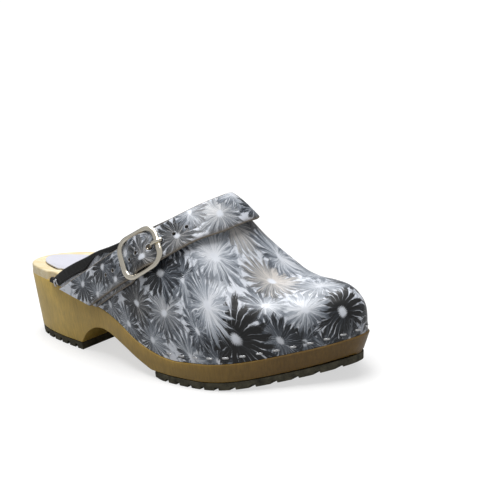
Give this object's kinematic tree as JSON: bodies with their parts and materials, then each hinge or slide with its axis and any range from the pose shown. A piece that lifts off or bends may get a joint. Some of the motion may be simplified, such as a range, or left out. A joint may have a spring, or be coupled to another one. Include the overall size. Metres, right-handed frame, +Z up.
{
  "type": "swedish clog",
  "caption": "Right swedish clog: wooden sole with heel and shank, printed leather upper closed at the toe and open behind, instep strap with a buckle, rubber treads.",
  "frame": {"origin": "on the floor under the centre of the heel tread, at the mount heel_rest", "axes": "+X to the toe, +Y to the medial side (the wearer's left), +Z up; the buckle is on the lateral side, -Y"},
  "size_m": [0.258, 0.1053, 0.1076],
  "materials": {
    "sole_wood": "clear lacquer over stained wood",
    "tread_rubber": "matt",
    "insole_fabric": "fine matt weave",
    "printed_leather": "glossy coat over a grey flower print",
    "binding_fabric": "black satin",
    "buckle_metal": "polished nickel"
  },
  "bodies": {
    "root": {"sole": "sole_wood", "heel_tread": "tread_rubber", "forefoot_tread": "tread_rubber", "insole": "insole_fabric", "upper": "printed_leather", "collar_binding": "binding_fabric", "instep_strap": "printed_leather", "buckle_tab": "printed_leather", "buckle_frame": "buckle_metal", "buckle_prong": "buckle_metal"}
  },
  "joints": []
}
